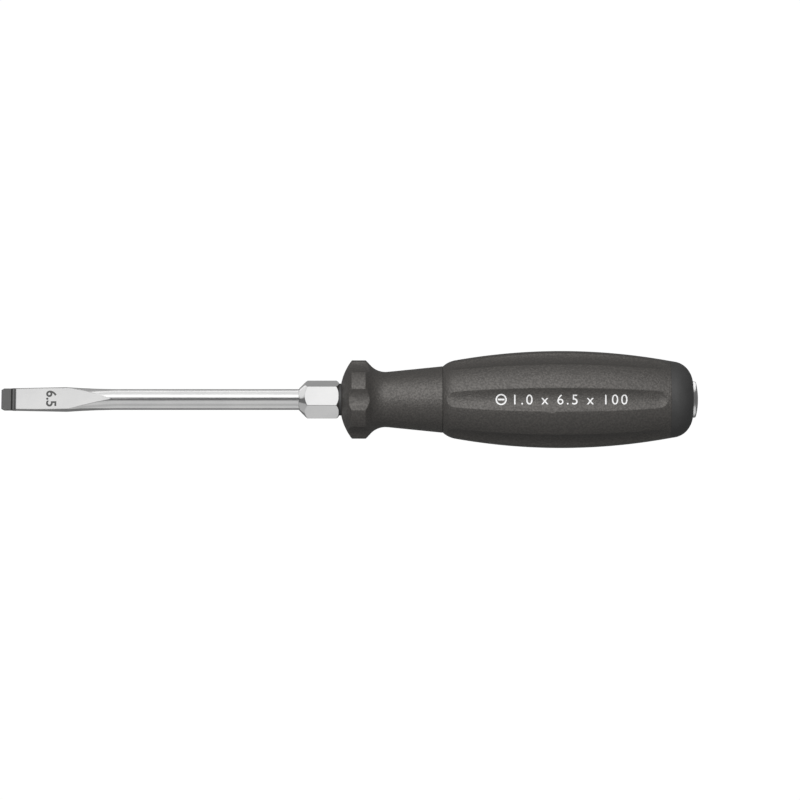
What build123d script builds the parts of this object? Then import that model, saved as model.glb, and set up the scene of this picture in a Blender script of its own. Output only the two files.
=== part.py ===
from build123d import *
import os
from math import cos, radians, sin, sqrt

# Slotted bench screwdriver with a through blade, a wrench bolster and a steel striking cap.
# The tool lies along X with its tip at X = 0 and its striking cap at the +X end. +Z is up.
# A clock angle turns a piece about X, from +Z towards +Y. All sizes are in millimetres.

# ---------------------------------------------------------------- driving dimensions
TIP_WIDTH = 6.5
TIP_THICKNESS = 1.0
BLADE_LENGTH = 100.1  # from the tip to the handle's front face
BAR_ACROSS_FLATS = 6.0
BAR_EDGE_RADIUS = 0.5
BOLSTER_ACROSS_FLATS = 10.0
BAR_CLOCK = 3.5
SPADE_CLOCK = 11.0  # the forged spade is turned a little from the bar's hexagon
BOLSTER_CLOCK = -17.4
SIDES = 6  # hexagonal bar and bolster, and six flutes round the handle

# ---------------------------------------------------------------- blade
GROUND_LENGTH = 2.95  # parallel ground faces that enter the screw slot
GROUND_END = 4.25  # where the ground radius meets the forged faces
TIP_CORNER = (0.85, 0.45)  # length and depth of the broken corners
FACE_START_HALF = 0.95  # half thickness of the forged faces at the ground end
FACE_MIDDLE = (17.8, 1.76)
FACE_RUNOUT = 33.2  # the forged faces run out on the bar's edges here
WIDEST_AT = 19.3
WIDEST_HALF = 3.43
SPADE_HALF_AT_TIP = 3.28
SPADE_EDGE_HALF = 1.83  # half height of the spade's side faces
SPADE_STATIONS = 5
BEVEL_TILT = 50.0  # clock angle from a forged face to the bevel on its long edge
BEVEL_START, BEVEL_MIDDLE, BEVEL_END = (4.25, 2.93), (17.8, 3.56), (33.2, 4.33)
TANG_SHOULDER = 195.5  # the bar ends here against the striking cap
SPIGOT_RADIUS = 2.5
SPIGOT_END = 202.3
EAR_START, EAR_LENGTH, EAR_HEIGHT, EAR_THICKNESS = 146.0, 6.0, 1.3, 1.6

# ---------------------------------------------------------------- bolster
BOLSTER_START = 88.2
BOLSTER_NOSE_RADIUS = 3.1
BOLSTER_REAR_CHAMFER = 0.75
BOLSTER_CROWN = 0.03  # how far the turned cones of the bolster bulge
BOLSTER_EDGE_RADIUS = 0.1

# ---------------------------------------------------------------- handle
NOSE_RADIUS = 4.75
GUARD_START = 100.85
GUARD_RADIUS = 11.63
GUARD_LAND = (103.98, 108.12)
GUARD_SCALLOP_RADIUS = 6.2
GUARD_SCALLOP_FLOOR = 10.38
NECK_CORNER = (111.6, 7.93)
NECK_FILLET = 6.0
PARTING = 130.85  # the guard collar ends and the grip starts
NECK_END_RADIUS = 9.87
LIP_START_RADIUS = 9.75
LIP_END = 134.6
BELLY = 166.0
BELLY_RADIUS = 14.4
CREST_CURVE = 180.0  # radius of the grip's long outline
FLUTE_RADIUS = 7.0
FLUTE_FLOOR = 13.1
FLUTE_CURVE = 240.0  # radius of the line along a flute's floor
FLUTE_START, FLUTE_BALL = 126.0, 195.1
GRIP_END = 198.3
SKIN = 2.4  # thickness of the soft skin over the core
GUARD_EDGE = 0.3  # rounding of the guard's edges and of the flutes' rims
FLUTE_EDGE = 0.4

CORE_NECK_RADIUS = 6.2
CORE_SPIGOT_RADIUS = 7.0
CORE_END = 201.5
END_CAP_SHOULDER = (199.8, 11.23)
END_CAP_CORNER = (203.6, 8.98)
END_CAP_FACE = 205.1

# ---------------------------------------------------------------- striking cap
HEAD_RADIUS = 5.4
HEAD_SEAT = 204.0
HEAD_SIDE_END = 205.5
DOME_RIM = (206.05, 4.95)
TOTAL_LENGTH = 206.65
STEM_RADIUS = 4.2
STEM_GROOVES = (197.0, 199.0, 201.0)
GROOVE_WIDTH, GROOVE_DEPTH = 0.8, 0.4

CLEAR = 5.0  # how far cutters stand past the stock


def section(x, clock=0.0):
    """The plane across the tool at x. Its local y points up, turned by the clock angle."""
    turn = radians(clock)
    return Plane(origin=(x, 0, 0), x_dir=(0, cos(turn), -sin(turn)), z_dir=(1, 0, 0))


def side_view(clock=0.0):
    """The plane through the axis whose local x is X and whose local y is the clocked up."""
    turn = radians(clock)
    return Plane(origin=(0, 0, 0), x_dir=(1, 0, 0), z_dir=(0, -cos(turn), sin(turn)))


def plan_view(clock=0.0):
    """The plane through the axis that faces the clocked up."""
    turn = radians(clock)
    return Plane(origin=(0, 0, 0), x_dir=(1, 0, 0), z_dir=(0, sin(turn), cos(turn)))


def crest(x):
    """Outer radius of the grip along its belly."""
    return BELLY_RADIUS - CREST_CURVE + sqrt(CREST_CURVE**2 - (x - BELLY) ** 2)


def save(piece, name):
    """Names a finished piece and writes it as its own file."""
    piece.part.label = name
    export_step(piece.part, f"parts/{name}.step")


def spade_outline(x):
    """Corners of the forged bar across the tool at x, before its two faces are cut."""
    vertex = BAR_ACROSS_FLATS / sqrt(3)
    swell = (FACE_RUNOUT - x) / (FACE_RUNOUT - WIDEST_AT)
    half_width = BAR_ACROSS_FLATS / 2 + (WIDEST_HALF - BAR_ACROSS_FLATS / 2) * swell**2
    edge = vertex / 2 + (SPADE_EDGE_HALF - vertex / 2) * swell
    top = vertex * half_width / (BAR_ACROSS_FLATS / 2)
    half = [(half_width, -edge), (half_width, edge), (0, top)]
    return half + [(-px, -py) for px, py in half]


def turned_copies(shape):
    """The shape repeated round the X axis, once for each side."""
    return [shape.rotate(Axis.X, step * 360 / SIDES) for step in range(SIDES)]


os.makedirs("parts", exist_ok=True)
bar_radius = BAR_ACROSS_FLATS / sqrt(3)

# ---------------------------------------------------------------- blade
with BuildPart() as blade:
    # The bar, from the spade to the shoulder that carries the hammer's blow.
    with BuildSketch(section(FACE_RUNOUT, BAR_CLOCK)) as bar_section:
        RegularPolygon(bar_radius, SIDES, rotation=30)
        fillet(bar_section.vertices(), BAR_EDGE_RADIUS)
    extrude(amount=TANG_SHOULDER - FACE_RUNOUT)

    # The swelling of the spade, in even stations from the bar to its widest place.
    for station in range(SPADE_STATIONS):
        swell = station / (SPADE_STATIONS - 1)
        x = FACE_RUNOUT + (WIDEST_AT - FACE_RUNOUT) * swell
        clock = BAR_CLOCK + (SPADE_CLOCK - BAR_CLOCK) * swell
        with BuildSketch(section(x, clock)) as station_section:
            Polygon(*spade_outline(x), align=None)
            fillet(station_section.vertices(), BAR_EDGE_RADIUS)
    loft()

    # The straight spade, from its widest place to the tip.
    for x, half_width in ((WIDEST_AT, WIDEST_HALF), (0, SPADE_HALF_AT_TIP)):
        with BuildSketch(section(x, SPADE_CLOCK)) as spade_section:
            widest = spade_outline(WIDEST_AT)
            Polygon(*[(px * half_width / WIDEST_HALF, py) for px, py in widest], align=None)
            fillet(spade_section.vertices(), BAR_EDGE_RADIUS)
    loft(ruled=True)

    # The two forged faces, with the ground tip ahead of them.
    with BuildSketch(side_view(SPADE_CLOCK)) as face_cutter:
        with BuildLine():
            face = ThreePointArc(
                (GROUND_END, FACE_START_HALF), FACE_MIDDLE, (FACE_RUNOUT, bar_radius)
            )
            ground = Line((-CLEAR, TIP_THICKNESS / 2), (GROUND_LENGTH, TIP_THICKNESS / 2))
            TangentArc(ground @ 1, face @ 0, tangent=(1, 0))
            Polyline(face @ 1, (FACE_RUNOUT, 2 * CLEAR), (-CLEAR, 2 * CLEAR), ground @ 0)
        make_face()
        mirror(about=Plane.XZ)
    extrude(amount=2 * CLEAR, both=True, mode=Mode.SUBTRACT)

    # A bevel along each long edge of the forged faces, which fades where the spade narrows.
    for tilt in (-BEVEL_TILT, BEVEL_TILT):
        with BuildSketch(side_view(SPADE_CLOCK + tilt)) as bevel_cutter:
            with BuildLine():
                bevel = ThreePointArc(BEVEL_START, BEVEL_MIDDLE, BEVEL_END)
                Polyline(
                    bevel @ 1,
                    (FACE_RUNOUT, 2 * CLEAR),
                    (-CLEAR, 2 * CLEAR),
                    (-CLEAR, BEVEL_START[1]),
                    bevel @ 0,
                )
            make_face()
            mirror(about=Plane.XZ)
        extrude(amount=2 * CLEAR, both=True, mode=Mode.SUBTRACT)

    # The ground sides of the tip, with their corners broken.
    with BuildSketch(plan_view(SPADE_CLOCK)) as side_cutter:
        half_tip = TIP_WIDTH / 2
        with BuildLine():
            Polyline(
                (-CLEAR, half_tip - TIP_CORNER[1]),
                (0, half_tip - TIP_CORNER[1]),
                (TIP_CORNER[0], half_tip),
                (GROUND_LENGTH, half_tip),
                (GROUND_END, SPADE_HALF_AT_TIP + 0.1),
                (GROUND_END, 2 * CLEAR),
                (-CLEAR, 2 * CLEAR),
                close=True,
            )
        make_face()
        mirror(about=Plane.XZ)
    extrude(amount=CLEAR, both=True, mode=Mode.SUBTRACT)

    # The turned spigot inside the striking cap.
    with BuildSketch(section(TANG_SHOULDER)):
        Circle(SPIGOT_RADIUS)
    extrude(amount=SPIGOT_END - TANG_SHOULDER)

    # Two swaged ears that lock the bar lengthwise in the core.
    with BuildSketch(plan_view(BAR_CLOCK)) as ear:
        with BuildLine():
            Polyline(
                (EAR_START, 0),
                (EAR_START + EAR_LENGTH, 0),
                (EAR_START + EAR_LENGTH, BAR_ACROSS_FLATS / 2),
                (EAR_START + 0.75 * EAR_LENGTH, BAR_ACROSS_FLATS / 2 + EAR_HEIGHT),
                (EAR_START + 0.25 * EAR_LENGTH, BAR_ACROSS_FLATS / 2 + EAR_HEIGHT),
                (EAR_START, BAR_ACROSS_FLATS / 2),
                close=True,
            )
        make_face()
        mirror(about=Plane.XZ)
    extrude(amount=EAR_THICKNESS / 2, both=True)
save(blade, "blade")

# ---------------------------------------------------------------- bolster
with BuildPart() as hex_bolster:
    corner_radius = BOLSTER_ACROSS_FLATS / sqrt(3)
    with BuildSketch(section(BOLSTER_START, BOLSTER_CLOCK)) as bolster_section:
        RegularPolygon(corner_radius, SIDES, rotation=30)
        fillet(bolster_section.vertices(), BOLSTER_EDGE_RADIUS)
    extrude(amount=BLADE_LENGTH - BOLSTER_START)
    with BuildSketch(Plane.XZ) as bolster_turning:
        with BuildLine():
            nose_length = corner_radius - BOLSTER_NOSE_RADIUS
            nose = SagittaArc(
                (BOLSTER_START, BOLSTER_NOSE_RADIUS),
                (BOLSTER_START + nose_length, corner_radius),
                BOLSTER_CROWN,
            )
            rear = SagittaArc(
                (BLADE_LENGTH - BOLSTER_REAR_CHAMFER, corner_radius),
                (BLADE_LENGTH, corner_radius - BOLSTER_REAR_CHAMFER),
                BOLSTER_CROWN,
            )
            Line(nose @ 1, rear @ 0)
            Polyline(rear @ 1, (BLADE_LENGTH, 0), (BOLSTER_START, 0), nose @ 0)
        make_face()
    revolve(axis=Axis.X, mode=Mode.INTERSECT)
    add(blade.part, mode=Mode.SUBTRACT)
save(hex_bolster, "hex_bolster")

# ---------------------------------------------------------------- striking cap
with BuildPart() as striking_cap:
    with BuildSketch(Plane.XZ) as cap_turning:
        with BuildLine():
            outline = Polyline(
                (TANG_SHOULDER, 0),
                (TANG_SHOULDER, STEM_RADIUS),
                (HEAD_SEAT, STEM_RADIUS),
                (HEAD_SEAT, HEAD_RADIUS),
                (HEAD_SIDE_END, HEAD_RADIUS),
            )
            rim = TangentArc(outline @ 1, DOME_RIM, tangent=(1, 0))
            dome = TangentArc((TOTAL_LENGTH, 0), rim @ 1, tangent=(0, 1))
            Line(dome @ 0, outline @ 0)
        make_face()
    revolve(axis=Axis.X)
    for groove in STEM_GROOVES:
        with BuildSketch(section(groove)) as groove_ring:
            Circle(STEM_RADIUS)
            Circle(STEM_RADIUS - GROOVE_DEPTH, mode=Mode.SUBTRACT)
        extrude(amount=GROOVE_WIDTH, mode=Mode.SUBTRACT)
    add(blade.part, mode=Mode.SUBTRACT)
save(striking_cap, "striking_cap")

# ---------------------------------------------------------------- cutters for the flutes
flute_pitch_radius = FLUTE_CURVE + FLUTE_RADIUS
flute_centre = (BELLY, 0, FLUTE_FLOOR - FLUTE_CURVE)


def flute_cutter(radius):
    """One flute's cutter: a round bar bent along the handle, with a ball at its rear end."""
    rise = sqrt(flute_pitch_radius**2 - (FLUTE_BALL - BELLY) ** 2)
    ball = (FLUTE_BALL, 0, flute_centre[2] + rise)
    first_rise = sqrt(flute_pitch_radius**2 - (FLUTE_START - BELLY) ** 2)
    first = (FLUTE_START, 0, flute_centre[2] + first_rise)
    top = (BELLY, 0, flute_centre[2] + flute_pitch_radius)
    with BuildPart(mode=Mode.PRIVATE) as cutter:
        with BuildLine() as path:
            ThreePointArc(first, top, ball)
        with BuildSketch(Plane(origin=path.line @ 0, z_dir=path.line % 0)):
            Circle(radius)
        sweep()
        with Locations(ball):
            Sphere(radius)
    return cutter.part


# ---------------------------------------------------------------- hard core
with BuildPart() as handle_core:
    with BuildSketch(Plane.XZ) as core_turning:
        with BuildLine():
            Polyline(
                (GRIP_END, crest(GRIP_END) - SKIN),
                (GRIP_END, CORE_SPIGOT_RADIUS),
                (CORE_END, CORE_SPIGOT_RADIUS),
                (CORE_END, 0),
                (BLADE_LENGTH, 0),
                (BLADE_LENGTH, NOSE_RADIUS),
                (GUARD_LAND[0] - 2, NOSE_RADIUS),
                (GUARD_LAND[0], CORE_NECK_RADIUS),
                (PARTING - 3, CORE_NECK_RADIUS),
                (LIP_END, crest(LIP_END) - SKIN),
            )
            ThreePointArc(
                (LIP_END, crest(LIP_END) - SKIN),
                (BELLY, BELLY_RADIUS - SKIN),
                (GRIP_END, crest(GRIP_END) - SKIN),
            )
        make_face()
    revolve(axis=Axis.X)
    add(turned_copies(flute_cutter(FLUTE_RADIUS + SKIN)), mode=Mode.SUBTRACT)
    add([blade.part, striking_cap.part], mode=Mode.SUBTRACT)
save(handle_core, "handle_core")

# ---------------------------------------------------------------- guard and neck
with BuildPart() as guard_collar:
    with BuildSketch(Plane.XZ) as collar_turning:
        with BuildLine():
            dome = ThreePointArc(
                (GUARD_START, 5.0), (102.1, 8.6), (GUARD_LAND[0], GUARD_RADIUS)
            )
            land = Line(dome @ 1, (GUARD_LAND[1], GUARD_RADIUS))
            waist = FilletPolyline(
                land @ 1, NECK_CORNER, (PARTING, NECK_END_RADIUS), radius=NECK_FILLET
            )
            Polyline(waist @ 1, (PARTING, 0), (GUARD_START, 0), dome @ 0)
        make_face()
    revolve(axis=Axis.X)
    with BuildSketch(section(GUARD_START - CLEAR)) as scallops:
        with PolarLocations(GUARD_SCALLOP_FLOOR + GUARD_SCALLOP_RADIUS, SIDES, 90):
            Circle(GUARD_SCALLOP_RADIUS)
    extrude(amount=NECK_CORNER[0] - GUARD_START + 2 * CLEAR, mode=Mode.SUBTRACT)
    scallop_edges = edges(Select.LAST)
    land_rims = edges().filter_by(GeomType.CIRCLE).filter_by(
        lambda edge: abs(edge.radius - GUARD_RADIUS) < 0.01
    )
    fillet(scallop_edges + land_rims, GUARD_EDGE)
    add([handle_core.part, blade.part], mode=Mode.SUBTRACT)
save(guard_collar, "guard_collar")

# ---------------------------------------------------------------- soft grip
with BuildPart() as grip_sleeve:
    with BuildSketch(Plane.XZ) as grip_turning:
        with BuildLine():
            belly = ThreePointArc(
                (LIP_END, crest(LIP_END)),
                (BELLY, BELLY_RADIUS),
                (GRIP_END, crest(GRIP_END)),
            )
            lip = TangentArc(
                belly @ 0,
                (PARTING, LIP_START_RADIUS),
                tangent=(belly % 0) * -1,
            )
            Polyline(belly @ 1, (GRIP_END, 0), (PARTING, 0), lip @ 1)
        make_face()
    revolve(axis=Axis.X)
    add(turned_copies(flute_cutter(FLUTE_RADIUS)), mode=Mode.SUBTRACT)
    fillet(edges(Select.LAST).filter_by(GeomType.BSPLINE), FLUTE_EDGE)
    add([handle_core.part, blade.part, striking_cap.part], mode=Mode.SUBTRACT)
save(grip_sleeve, "grip_sleeve")

# ---------------------------------------------------------------- end cap
with BuildPart() as end_cap:
    with BuildSketch(Plane.XZ) as end_turning:
        with BuildLine():
            side = Line((GRIP_END, crest(GRIP_END)), END_CAP_SHOULDER)
            corner = TangentArc(side @ 1, END_CAP_CORNER, tangent=side % 1)
            face = TangentArc(corner @ 1, (END_CAP_FACE, HEAD_RADIUS), tangent=corner % 1)
            Polyline(face @ 1, (END_CAP_FACE, 0), (GRIP_END, 0), side @ 0)
        make_face()
    revolve(axis=Axis.X)
    add([handle_core.part, striking_cap.part, blade.part], mode=Mode.SUBTRACT)
save(end_cap, "end_cap")
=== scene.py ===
"""The finished look of a slotted bench screwdriver: its materials, printed marks, studio and camera.

Metres throughout. The tool lies along X with its tip at X = 0, and +Z is up.
"""

from math import cos, pi, radians, sin, tan

import bmesh
import bpy
from mathutils import Matrix, Vector
from mathutils.bvhtree import BVHTree


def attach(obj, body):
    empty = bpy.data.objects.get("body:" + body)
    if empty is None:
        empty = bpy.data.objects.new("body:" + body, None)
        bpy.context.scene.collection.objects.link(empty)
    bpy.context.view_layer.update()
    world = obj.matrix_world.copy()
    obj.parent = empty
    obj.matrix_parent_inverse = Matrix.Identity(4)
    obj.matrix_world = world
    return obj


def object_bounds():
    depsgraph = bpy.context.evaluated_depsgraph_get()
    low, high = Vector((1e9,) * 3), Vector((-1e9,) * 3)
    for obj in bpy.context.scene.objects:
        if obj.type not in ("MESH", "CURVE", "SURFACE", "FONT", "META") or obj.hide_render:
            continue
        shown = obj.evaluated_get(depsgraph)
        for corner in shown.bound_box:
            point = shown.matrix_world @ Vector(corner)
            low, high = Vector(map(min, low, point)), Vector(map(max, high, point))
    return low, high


MM = 0.001

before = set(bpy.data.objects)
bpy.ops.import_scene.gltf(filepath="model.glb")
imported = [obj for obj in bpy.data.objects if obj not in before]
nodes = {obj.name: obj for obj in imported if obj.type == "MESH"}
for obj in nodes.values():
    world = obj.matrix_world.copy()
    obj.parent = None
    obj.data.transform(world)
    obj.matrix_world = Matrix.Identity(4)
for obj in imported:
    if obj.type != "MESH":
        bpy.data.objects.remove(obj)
cad_box = [list(corner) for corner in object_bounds()]

# ---------------------------------------------------------------- places on the tool
FLOOR_Z = cad_box[0][2]
TOOL_END = cad_box[1][0]
SPADE_CLOCK = radians(11.0)  # how far the spade's flat is turned from +Z towards +Y
GROUND_END = 4.4 * MM
DARK_REFLECTION_AT = 3.1 * MM  # painted dark reflection: a dark line painted where the grinding wheel's radius starts, standing in for the dark that this radius reflects
SPADE_WIDEST = 19.3 * MM
FACE_RUNOUT = 33.2 * MM
EDGE_ROUNDING = 0.2 * MM  # how far plating and polishing round the chromed edges
RIM_ROUNDING = 0.35 * MM  # how far moulding rounds the soft grip's rims

# Cells a metre of the patterns in the metal, axis by axis.
POLISHING_LINES = (60, 5200, 5200)
FORGING_MARKS = (420, 420, 420)
GRINDING_LINES = (9000, 160, 160)
LATHE_RINGS = (6000, 2500, 1)

PRINT_LIFT = 0.03 * MM  # height of the printed ink's face above its surface
PRINT_THICKNESS = 0.02 * MM
CUT_STEP = 0.25 * MM  # spacing of the cuts that let flat marks follow a curved surface
STAND_OFF = 5 * MM  # how far outside the tool a mark starts before it drops on its surface


# ---------------------------------------------------------------- shader helpers
def new_material(name):
    """An empty node material with its output, and a helper that adds nodes to it."""
    material = bpy.data.materials.new(name)
    material.use_nodes = True
    tree = material.node_tree
    tree.nodes.clear()
    output = tree.nodes.new("ShaderNodeOutputMaterial")
    return material, tree, output


def put(tree, socket, value):
    """Links value to the socket if it is another socket, or else sets it there."""
    if isinstance(value, bpy.types.NodeSocket):
        tree.links.new(value, socket)
    else:
        socket.default_value = value


def add(tree, kind, inputs=None, **settings):
    """A new node of that kind, with its settings and its inputs given by name or number."""
    made = tree.nodes.new(kind)
    for name, value in settings.items():
        setattr(made, name, value)
    for name, value in (inputs or {}).items():
        put(tree, made.inputs[name], value)
    return made


def math(tree, operation, first, second=0.0, third=None, clamp=False):
    """The result of one math node."""
    made = add(tree, "ShaderNodeMath", {0: first, 1: second}, operation=operation)
    made.use_clamp = clamp
    if third is not None:
        put(tree, made.inputs[2], third)
    return made.outputs[0]


def ramp(tree, value, low, high, out_low=0.0, out_high=1.0):
    """value mapped smoothly from low..high to out_low..out_high."""
    made = add(
        tree,
        "ShaderNodeMapRange",
        {"Value": value, "From Min": low, "From Max": high, "To Min": out_low, "To Max": out_high},
        interpolation_type="SMOOTHSTEP",
    )
    return made.outputs["Result"]


def blend_colour(tree, factor, first, second):
    """Two colours mixed by a factor."""
    made = add(tree, "ShaderNodeMix", data_type="RGBA")
    put(tree, made.inputs["Factor"], factor)
    put(tree, made.inputs["A"], first)
    put(tree, made.inputs["B"], second)
    return made.outputs["Result"]


def noise(tree, vector, scale, detail=2.0, roughness=0.5):
    """A noise value from 0 to 1 at that many cells a metre."""
    made = add(
        tree,
        "ShaderNodeTexNoise",
        {"Vector": vector, "Scale": scale, "Detail": detail, "Roughness": roughness},
    )
    return made.outputs["Fac"]


def stretched(tree, vector, scale):
    """The coordinates multiplied axis by axis, to draw a pattern out along an axis."""
    made = add(tree, "ShaderNodeVectorMath", {0: vector, 1: scale}, operation="MULTIPLY")
    return made.outputs["Vector"]


def bump(tree, height, distance, strength=1.0, normal=None):
    """The normal that a height from 0 to 1 gives at that distance in metres."""
    made = add(
        tree, "ShaderNodeBump", {"Height": height, "Distance": distance, "Strength": strength}
    )
    if normal is not None:
        put(tree, made.inputs["Normal"], normal)
    return made.outputs["Normal"]


def object_coordinates(tree):
    """The row frame's coordinates, in metres."""
    return add(tree, "ShaderNodeTexCoord").outputs["Object"]


def separate(tree, vector):
    """The X, Y and Z of a vector."""
    split = add(tree, "ShaderNodeSeparateXYZ", {0: vector})
    return split.outputs["X"], split.outputs["Y"], split.outputs["Z"]


def grey(level, warmth=0.0):
    """A grey of that linear level, a little redder for a positive warmth."""
    return (level * (1 + warmth), level, level * (1 - warmth), 1.0)


# ---------------------------------------------------------------- materials
def grained_elastomer(name):
    """Soft black grip material with a fine spark-eroded grain."""
    material, tree, output = new_material(name)
    vector = object_coordinates(tree)
    pits = noise(tree, vector, 2000, 3, 0.7)
    grit = noise(tree, vector, 1100, 3, 0.7)
    specks = ramp(tree, noise(tree, vector, 1700, 1, 0.5), 0.33, 0.67)
    cloud = noise(tree, vector, 60, 3, 0.55)
    base = blend_colour(tree, specks, grey(0.050, 0.05), grey(0.054, 0.07))
    base = blend_colour(tree, ramp(tree, cloud, 0.3, 0.7, 0.0, 0.3), base, grey(0.044, 0.05))
    relief = math(tree, "ADD", pits, math(tree, "MULTIPLY", grit, 0.7))
    soft = add(tree, "ShaderNodeBevel", {"Radius": RIM_ROUNDING}, samples=8).outputs[0]
    shader = add(
        tree,
        "ShaderNodeBsdfPrincipled",
        {
            "Base Color": base,
            "Roughness": ramp(tree, pits, 0.25, 0.75, 0.40, 0.52),
            "Specular IOR Level": ramp(tree, specks, 0.0, 1.0, 0.48, 0.78),
            "Specular Tint": (1.0, 0.965, 0.93, 1.0),
            "Normal": bump(tree, relief, 0.10 * MM, 1.0, soft),
        },
    )
    put(tree, output.inputs["Surface"], shader.outputs["BSDF"])
    return material


def smooth_plastic(name):
    """Hard black plastic with a faint moulded sheen."""
    material, tree, output = new_material(name)
    vector = object_coordinates(tree)
    cloud = noise(tree, vector, 220, 4, 0.6)
    fine = noise(tree, vector, 3000, 2, 0.5)
    base = blend_colour(tree, ramp(tree, cloud, 0.3, 0.7), grey(0.050), grey(0.057))
    shader = add(
        tree,
        "ShaderNodeBsdfPrincipled",
        {
            "Base Color": base,
            "Roughness": ramp(tree, cloud, 0.25, 0.75, 0.50, 0.58),
            "Specular IOR Level": 0.35,
            "Normal": bump(tree, fine, 0.006 * MM, 0.7),
        },
    )
    put(tree, output.inputs["Surface"], shader.outputs["BSDF"])
    return material


def crowned(tree, amount, start, end):
    """A normal turned a little towards the tool's radius, as polishing crowns a flat bar.

    It starts between two places along the tool, and leaves the spade's own faces flat.
    """
    x, y, z = separate(tree, object_coordinates(tree))
    outward = add(tree, "ShaderNodeCombineXYZ", {"X": 0.0, "Y": y, "Z": z}).outputs[0]
    radial = add(tree, "ShaderNodeVectorMath", {0: outward}, operation="NORMALIZE").outputs[0]
    plain_normal = add(tree, "ShaderNodeBevel", {"Radius": EDGE_ROUNDING}, samples=8).outputs[0]
    upright = (0, sin(SPADE_CLOCK), cos(SPADE_CLOCK))
    facing = add(tree, "ShaderNodeVectorMath", {0: plain_normal, 1: upright}, operation="DOT_PRODUCT")
    facing = math(tree, "ABSOLUTE", facing.outputs["Value"])
    factor = ramp(tree, x, start, end, 0.0, amount)
    factor = math(tree, "MULTIPLY", factor, ramp(tree, facing, 0.93, 0.98, 1.0, 0.0))
    mixed = add(tree, "ShaderNodeMix", data_type="VECTOR")
    put(tree, mixed.inputs["Factor"], factor)
    put(tree, mixed.inputs["A"], plain_normal)
    put(tree, mixed.inputs["B"], radial)
    result = mixed.outputs["Result"]
    turned = add(tree, "ShaderNodeVectorMath", {0: result}, operation="NORMALIZE")
    return turned.outputs[0]


def chrome_plate(tree, vector):
    """The polishing lines along the tool, the colour and the roughness of satin chrome plate."""
    lines = noise(tree, stretched(tree, vector, POLISHING_LINES), 1.0, 3, 0.6)
    cloud = noise(tree, vector, 120, 3, 0.5)
    colour = blend_colour(tree, ramp(tree, cloud, 0.3, 0.7), grey(0.66), grey(0.70, 0.004))
    roughness = ramp(tree, lines, 0.3, 0.7, 0.09, 0.15)
    return lines, colour, roughness


def bolster_metal(name):
    """Satin chrome plate with faint polishing lines along the tool."""
    material, tree, output = new_material(name)
    vector = object_coordinates(tree)
    lines, base, roughness = chrome_plate(tree, vector)
    shader = add(
        tree,
        "ShaderNodeBsdfPrincipled",
        {
            "Base Color": base,
            "Metallic": 1.0,
            "Roughness": roughness,
            "Normal": bump(tree, lines, 0.002 * MM, 0.5, crowned(tree, 0.08, 0.0, 1 * MM)),
        },
    )
    put(tree, output.inputs["Surface"], shader.outputs["BSDF"])
    return material


def blade_metal(name):
    """The bar's satin chrome, which gives way to dark ground steel at the tip, with a painted dark
    reflection line where the grinding radius starts.
    """
    material, tree, output = new_material(name)
    vector = object_coordinates(tree)
    x = separate(tree, vector)[0]
    lines, chrome, bright_rough = chrome_plate(tree, vector)
    forging = noise(tree, stretched(tree, vector, FORGING_MARKS), 1.0, 3, 0.55)
    grinding = noise(tree, stretched(tree, vector, GRINDING_LINES), 1.0, 3, 0.65)
    tip = ramp(tree, x, GROUND_END - 0.15 * MM, GROUND_END + 0.15 * MM, 1.0, 0.0)
    # Painted dark reflection: a narrow band of near-black painted into the ground steel's colour where
    # the grinding radius starts, standing in for the dark that the radius reflects.
    painted_dark_reflection = math(tree, "ABSOLUTE", math(tree, "SUBTRACT", x, DARK_REFLECTION_AT))
    painted_dark_reflection = ramp(tree, painted_dark_reflection, 0.1 * MM, 0.42 * MM, 0.95, 0.0)
    spade = ramp(tree, x, 0.8 * FACE_RUNOUT, FACE_RUNOUT, 1.0, 0.0)
    ground = blend_colour(tree, ramp(tree, grinding, 0.3, 0.7), grey(0.225), grey(0.31, 0.01))
    # The painted dark reflection is mixed into the ground steel's colour here.
    ground = blend_colour(tree, painted_dark_reflection, ground, grey(0.03))
    base = blend_colour(tree, tip, chrome, ground)
    ground_rough = ramp(tree, grinding, 0.3, 0.7, 0.34, 0.5)
    rough = add(tree, "ShaderNodeMix", data_type="FLOAT")
    put(tree, rough.inputs["Factor"], tip)
    put(tree, rough.inputs["A"], bright_rough)
    put(tree, rough.inputs["B"], ground_rough)
    crown = crowned(tree, 0.3, SPADE_WIDEST - 2 * MM, SPADE_WIDEST + 3 * MM)
    forged = math(tree, "MULTIPLY", forging, math(tree, "MULTIPLY", spade, 1.2))
    scored = math(tree, "MULTIPLY", grinding, math(tree, "MULTIPLY", tip, 2.0))
    relief = math(tree, "ADD", math(tree, "MULTIPLY", lines, 0.5), forged)
    relief = math(tree, "ADD", relief, scored)
    shader = add(
        tree,
        "ShaderNodeBsdfPrincipled",
        {
            "Base Color": base,
            "Metallic": 1.0,
            "Roughness": rough.outputs["Result"],
            "Normal": bump(tree, relief, 0.003 * MM, 0.6, crown),
        },
    )
    put(tree, output.inputs["Surface"], shader.outputs["BSDF"])
    return material


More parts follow.
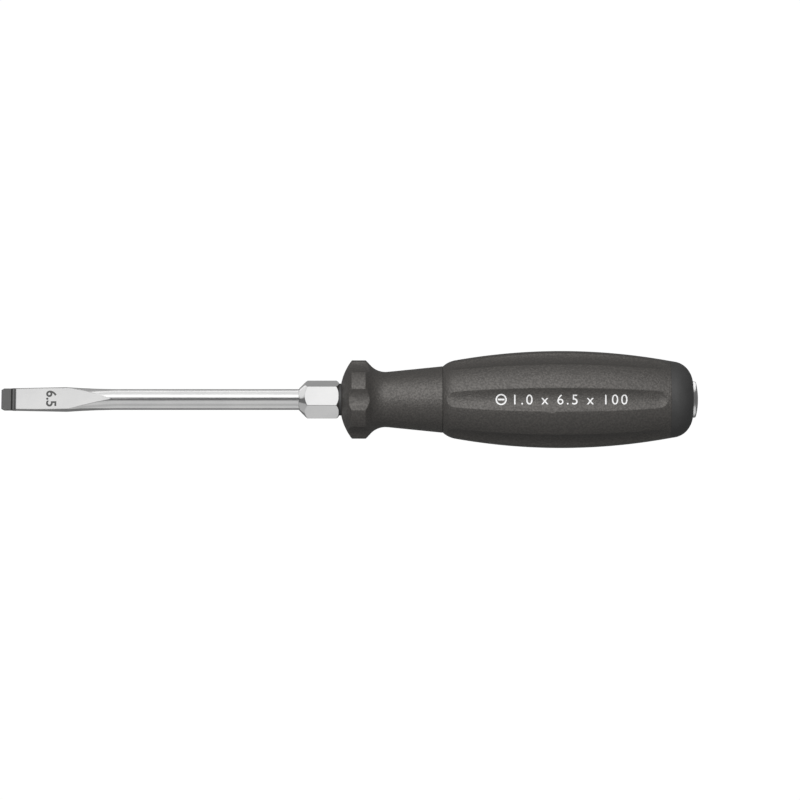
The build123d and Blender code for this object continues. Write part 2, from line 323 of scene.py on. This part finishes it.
def turned_steel(name):
    """Satin steel with the fine rings that a lathe leaves round the tool's axis."""
    material, tree, output = new_material(name)
    vector = object_coordinates(tree)
    x, y, z = separate(tree, vector)
    squares = math(tree, "ADD", math(tree, "MULTIPLY", y, y), math(tree, "MULTIPLY", z, z))
    radius = math(tree, "SQRT", squares)
    along = add(tree, "ShaderNodeCombineXYZ", {"X": radius, "Y": x, "Z": 0.0}).outputs[0]
    rings = noise(tree, stretched(tree, along, LATHE_RINGS), 1.0, 3, 0.6)
    cloud = noise(tree, vector, 300, 3, 0.5)
    base = blend_colour(tree, ramp(tree, cloud, 0.3, 0.7), grey(0.56), grey(0.62, 0.004))
    shader = add(
        tree,
        "ShaderNodeBsdfPrincipled",
        {
            "Base Color": base,
            "Metallic": 1.0,
            "Roughness": ramp(tree, rings, 0.3, 0.7, 0.24, 0.34),
            "Normal": bump(tree, rings, 0.003 * MM, 0.5),
        },
    )
    put(tree, output.inputs["Surface"], shader.outputs["BSDF"])
    return material


def ink(name, level, roughness):
    """Pad-printed ink that is a little uneven in colour."""
    material, tree, output = new_material(name)
    vector = object_coordinates(tree)
    uneven = noise(tree, vector, 1500, 3, 0.6)
    base = blend_colour(tree, ramp(tree, uneven, 0.3, 0.7), grey(level * 0.93), grey(level))
    shader = add(
        tree,
        "ShaderNodeBsdfPrincipled",
        {
            "Base Color": base,
            "Roughness": ramp(tree, uneven, 0.3, 0.7, roughness, roughness + 0.1),
            "Normal": bump(tree, uneven, 0.004 * MM, 0.5),
        },
    )
    put(tree, output.inputs["Surface"], shader.outputs["BSDF"])
    return material


def floor_paper(name):
    """White studio paper that is lit evenly from behind, so the tool leaves no shadow on it."""
    material, tree, output = new_material(name)
    vector = add(tree, "ShaderNodeTexCoord").outputs["Object"]
    fibre = noise(tree, vector, 900, 3, 0.6)
    base = blend_colour(tree, fibre, grey(0.09), grey(0.11))
    shader = add(
        tree,
        "ShaderNodeBsdfPrincipled",
        {
            "Base Color": base,
            "Roughness": 0.9,
            "Emission Color": (1, 1, 1, 1),
            "Emission Strength": 1.0,
            "Normal": bump(tree, fibre, 0.01 * MM, 0.3),
        },
    )
    put(tree, output.inputs["Surface"], shader.outputs["BSDF"])
    return material


def dress(node, material):
    """Gives a CAD node its material in every slot."""
    mesh = nodes[node].data
    if not mesh.materials:
        mesh.materials.append(material)
    for index in range(len(mesh.materials)):
        mesh.materials[index] = material


grain = grained_elastomer("grained_black_elastomer")
hard = smooth_plastic("smooth_black_plastic")
dress("blade", blade_metal("chromed_blade"))
dress("hex_bolster", bolster_metal("chromed_bolster"))
dress("striking_cap", turned_steel("turned_steel"))
dress("guard_collar", grain)
dress("grip_sleeve", grain)
dress("end_cap", hard)
dress("handle_core", hard)


# ---------------------------------------------------------------- printed and etched marks
def text_mesh(text, height, spacing=1.0, weight=0.0):
    """The text's outline as a flat bmesh, centred on the origin, with digits of that height."""
    curve = bpy.data.curves.new("lettering", "FONT")
    curve.body = text
    curve.align_x = "CENTER"
    curve.offset = weight
    curve.space_character = spacing
    carrier = bpy.data.objects.new("lettering", curve)
    bpy.context.scene.collection.objects.link(carrier)
    bpy.context.view_layer.update()
    flat = bpy.data.meshes.new_from_object(carrier)
    bpy.data.objects.remove(carrier)
    mesh = bmesh.new()
    mesh.from_mesh(flat)
    bpy.data.meshes.remove(flat)
    lowest = min(v.co.y for v in mesh.verts)
    highest = max(v.co.y for v in mesh.verts)
    left = min(v.co.x for v in mesh.verts)
    right = max(v.co.x for v in mesh.verts)
    middle = Vector(((left + right) / 2, (lowest + highest) / 2, 0))
    bmesh.ops.translate(mesh, verts=mesh.verts, vec=-middle)
    bmesh.ops.scale(mesh, verts=mesh.verts, vec=Vector((1, 1, 1)) * height / (highest - lowest))
    bmesh.ops.dissolve_limit(mesh, angle_limit=radians(0.5), verts=mesh.verts, edges=mesh.edges)
    return mesh


def add_slot_sign(mesh, centre, radius, stroke):
    """Adds the sign of a slotted screw: a ring with a bar across it."""
    steps = 48
    gap = 0.6 * stroke  # between the ring and the ends of the bar
    rings = []
    for ring_radius in (radius, radius - stroke):
        turned = [
            mesh.verts.new((
                centre[0] + ring_radius * cos(2 * pi * step / steps),
                centre[1] + ring_radius * sin(2 * pi * step / steps),
                0,
            ))
            for step in range(steps)
        ]
        rings.append(turned)
    for step in range(steps):
        after = (step + 1) % steps
        mesh.faces.new((rings[0][step], rings[0][after], rings[1][after], rings[1][step]))
    reach = radius - stroke - gap
    half = stroke * 0.62
    corners = [(-reach, -half), (reach, -half), (reach, half), (-reach, half)]
    mesh.faces.new([mesh.verts.new((centre[0] + px, centre[1] + py, 0)) for px, py in corners])


def cut_fine(mesh, step):
    """Cuts a flat mesh by a grid of lines, so that it can bend over a curved surface."""
    for axis in (0, 1):
        low = min(v.co[axis] for v in mesh.verts)
        high = max(v.co[axis] for v in mesh.verts)
        normal = Vector((1, 0, 0)) if axis == 0 else Vector((0, 1, 0))
        for index in range(1, int((high - low) / step) + 1):
            bmesh.ops.bisect_plane(
                mesh,
                geom=mesh.verts[:] + mesh.edges[:] + mesh.faces[:],
                plane_co=normal * (low + index * step),
                plane_no=normal,
                dist=step * 0.01,
            )


def lay_on(mesh, name, node, place, direction, material):
    """Carries a flat mesh to the tool with place(u, v) and drops it on a node along a direction."""
    surface = BVHTree.FromObject(nodes[node], bpy.context.evaluated_depsgraph_get())
    for vert in mesh.verts:
        start = place(vert.co.x, vert.co.y)
        hit, normal, _, _ = surface.ray_cast(start, direction)
        vert.co = hit + normal.normalized() * (PRINT_LIFT - PRINT_THICKNESS)
    raised = bmesh.ops.extrude_face_region(mesh, geom=mesh.faces[:], use_keep_orig=True)
    top = [part for part in raised["geom"] if isinstance(part, bmesh.types.BMVert)]
    bmesh.ops.translate(mesh, verts=top, vec=-direction * PRINT_THICKNESS)
    bmesh.ops.recalc_face_normals(mesh, faces=mesh.faces)
    data = bpy.data.meshes.new(name)
    mesh.to_mesh(data)
    mesh.free()
    data.materials.append(material)
    mark = bpy.data.objects.new(name, data)
    bpy.context.scene.collection.objects.link(mark)
    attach(mark, "root")


white_ink = ink("white_ink", 0.86, 0.45)
etched = ink("etched_dark", 0.05, 0.5)

# The grip's mark runs along the flute that faces up.
SIZE_TEXT = "1.0 x 6.5 x 100"
GRIP_MARK_MIDDLE = 168.5 * MM
GRIP_MARK_HEIGHT = 2.95 * MM
grip_text = text_mesh(SIZE_TEXT, GRIP_MARK_HEIGHT, 1.3)
text_half = max(v.co.x for v in grip_text.verts)
add_slot_sign(grip_text, (-text_half - 3.8 * MM, 0), 1.65 * MM, 0.42 * MM)
cut_fine(grip_text, CUT_STEP)
above = cad_box[1][2] + STAND_OFF
lay_on(
    grip_text, "grip_mark", "grip_sleeve",
    lambda u, v: Vector((GRIP_MARK_MIDDLE + u, v, above)),
    Vector((0, 0, -1)), white_ink,
)

# The end cap's mark bends round the striking cap on its lower side, and a slot sign leads it.
CAP_MARK_RADIUS = 7.9 * MM
CAP_MARK_HEIGHT = 2.0 * MM
cap_text = text_mesh(SIZE_TEXT, CAP_MARK_HEIGHT, 1.1)
text_half = max(v.co.x for v in cap_text.verts)
add_slot_sign(cap_text, (-text_half - 1.9 * MM, 0), 1.0 * MM, 0.28 * MM)
cut_fine(cap_text, CUT_STEP)
behind = TOOL_END + STAND_OFF
lay_on(
    cap_text, "end_cap_mark", "end_cap",
    lambda u, v: Vector((
        behind,
        -(CAP_MARK_RADIUS + v) * sin(u / CAP_MARK_RADIUS),
        -(CAP_MARK_RADIUS + v) * cos(u / CAP_MARK_RADIUS),
    )),
    Vector((-1, 0, 0)), white_ink,
)

# The blade's tip width is etched across its flat.
BLADE_MARK_MIDDLE = 14.9 * MM
BLADE_MARK_HEIGHT = 3.1 * MM
blade_text = text_mesh("6.5", BLADE_MARK_HEIGHT, 1.0, 0.02)
cut_fine(blade_text, CUT_STEP)
across = Vector((0, cos(SPADE_CLOCK), -sin(SPADE_CLOCK)))
blade_up = Vector((0, sin(SPADE_CLOCK), cos(SPADE_CLOCK)))
lay_on(
    blade_text, "blade_mark", "blade",
    lambda u, v: Vector((BLADE_MARK_MIDDLE + v, 0, 0)) - across * u + blade_up * STAND_OFF,
    -blade_up, etched,
)


# ---------------------------------------------------------------- studio
FLOOR_HALF = 4.0
LIGHT_DISTANCE = 1.6
PANEL_TOP = 0.15
PANEL_DROP = 2.4


def make_floor():
    """A wide white floor that the camera sees, but that throws no light back on the tool."""
    mesh = bmesh.new()
    corners = [
        (-FLOOR_HALF, -FLOOR_HALF), (FLOOR_HALF, -FLOOR_HALF),
        (FLOOR_HALF, FLOOR_HALF), (-FLOOR_HALF, FLOOR_HALF),
    ]
    mesh.faces.new([mesh.verts.new((px, py, FLOOR_Z)) for px, py in corners])
    data = bpy.data.meshes.new("floor")
    mesh.to_mesh(data)
    mesh.free()
    data.materials.append(floor_paper("white_paper"))
    floor = bpy.data.objects.new("floor", data)
    bpy.context.scene.collection.objects.link(floor)
    floor.visible_diffuse = False
    floor.visible_glossy = False
    floor.visible_shadow = False


def area_light(name, length, width, radiance, place, receivers):
    """An even rectangular light of that radiance, which only lights its receivers."""
    data = bpy.data.lights.new(name, "AREA")
    data.shape = "RECTANGLE"
    data.size = length
    data.size_y = width
    data.energy = radiance * pi * length * width
    lamp = bpy.data.objects.new(name, data)
    bpy.context.scene.collection.objects.link(lamp)
    lamp.matrix_world = place
    lamp.visible_camera = False
    lamp.light_linking.receiver_collection = receivers


def softbox(name, clock, spread, radiance, receivers, length=3.0, middle=0.1):
    """A long soft light parallel to the tool. Clock and spread are angles in degrees round the tool."""
    width = 2 * LIGHT_DISTANCE * tan(radians(spread / 2))
    turn = radians(clock)
    away = Vector((0, sin(turn), cos(turn)))
    across = Vector((0, cos(turn), -sin(turn)))
    place = Matrix((
        (1, across.x, away.x, middle),
        (0, across.y, away.y, away.y * LIGHT_DISTANCE),
        (0, across.z, away.z, away.z * LIGHT_DISTANCE),
        (0, 0, 0, 1),
    ))
    area_light(name, length, width, radiance, place, receivers)


def end_panel(name, low, high, radiance, receivers):
    """A panel beyond the tip that a 45 degree cone on the tool reflects from low to high clock."""
    left = LIGHT_DISTANCE * sin(radians(low))
    right = LIGHT_DISTANCE * sin(radians(high))
    place = Matrix((
        (0, 0, -1, -LIGHT_DISTANCE),
        (-1, 0, 0, (left + right) / 2),
        (0, 1, 0, PANEL_TOP - PANEL_DROP / 2),
        (0, 0, 0, 1),
    ))
    area_light(name, right - left, PANEL_DROP, radiance, place, receivers)


def make_world():
    """A dim grey surround for light, with plain white where the camera looks past the floor."""
    world = bpy.data.worlds.new("studio")
    world.use_nodes = True
    tree = world.node_tree
    tree.nodes.clear()
    output = tree.nodes.new("ShaderNodeOutputWorld")
    surround = add(tree, "ShaderNodeBackground", {"Color": grey(1.0), "Strength": 0.2})
    seen = add(tree, "ShaderNodeBackground", {"Color": grey(1.0), "Strength": 1.0})
    path = add(tree, "ShaderNodeLightPath")
    mixed = add(tree, "ShaderNodeMixShader", {0: path.outputs["Is Camera Ray"]})
    put(tree, mixed.inputs[1], surround.outputs[0])
    put(tree, mixed.inputs[2], seen.outputs[0])
    put(tree, output.inputs["Surface"], mixed.outputs[0])
    bpy.context.scene.world = world


def collection_of(name, members):
    """A collection that lights can be linked to."""
    made = bpy.data.collections.new(name)
    for member in members:
        made.objects.link(member)
    return made


make_floor()
make_world()
METAL = ("blade", "hex_bolster", "striking_cap")
on_blade = collection_of("lit_as_blade", [nodes["blade"]])
on_bolster = collection_of("lit_as_bolster", [nodes["hex_bolster"]])
on_cap = collection_of("lit_as_cap", [nodes["striking_cap"]])
UNLIT = METAL + ("floor",)
others = [o for o in bpy.context.scene.objects if o.type == "MESH" and o.name not in UNLIT]
plain = collection_of("lit_as_plain", others)

softbox("key", 29, 66, 2.75, plain, length=2.3, middle=-0.4)
softbox("low_fill", -50, 60, 0.16, plain)

softbox("blade_flat", 22, 30, 0.83, on_blade, length=1.44, middle=-0.78)
softbox("blade_bright", 57.5, 8.0, 1.5, on_blade)
softbox("blade_high", 63.5, 6.5, 1.0, on_blade)
softbox("blade_dip", 70.8, 8.2, 0.80, on_blade)
softbox("blade_edge", 77.3, 4.6, 1.15, on_blade)
softbox("blade_rim", 94.8, 30.4, 0.28, on_blade)
softbox("blade_back", 130, 40, 0.1, on_blade)
softbox("blade_low", -46.0, 12, 0.56, on_blade)
softbox("blade_low_dip", -56, 8, 0.38, on_blade)
softbox("blade_lower", -65.5, 11, 0.55, on_blade)

softbox("bolster_top", 27, 30, 1.03, on_bolster)
softbox("bolster_back", 147, 40, 0.2, on_bolster)
softbox("bolster_low", -93, 40, 0.53, on_bolster)
end_panel("nose_upper", 6, 80, 0.85, on_bolster)
end_panel("nose_lower", -80, -16, 0.36, on_bolster)

softbox("cap_high", 105, 90, 1.45, on_cap)
softbox("cap_low", -80, 70, 0.8, on_cap)

# ---------------------------------------------------------------- camera
CAMERA_HEIGHT = 1.44
VIEW_WIDTH = 237.4 * MM
camera_data = bpy.data.cameras.new("camera")
camera_data.sensor_width = 36
camera_data.lens = 36 * CAMERA_HEIGHT / VIEW_WIDTH
camera_data.clip_end = 50
camera = bpy.data.objects.new("camera", camera_data)
camera.location = (118.25 * MM, -0.14 * MM, CAMERA_HEIGHT)
bpy.context.scene.collection.objects.link(camera)
bpy.context.scene.camera = camera
bpy.context.scene.view_settings.view_transform = "Standard"
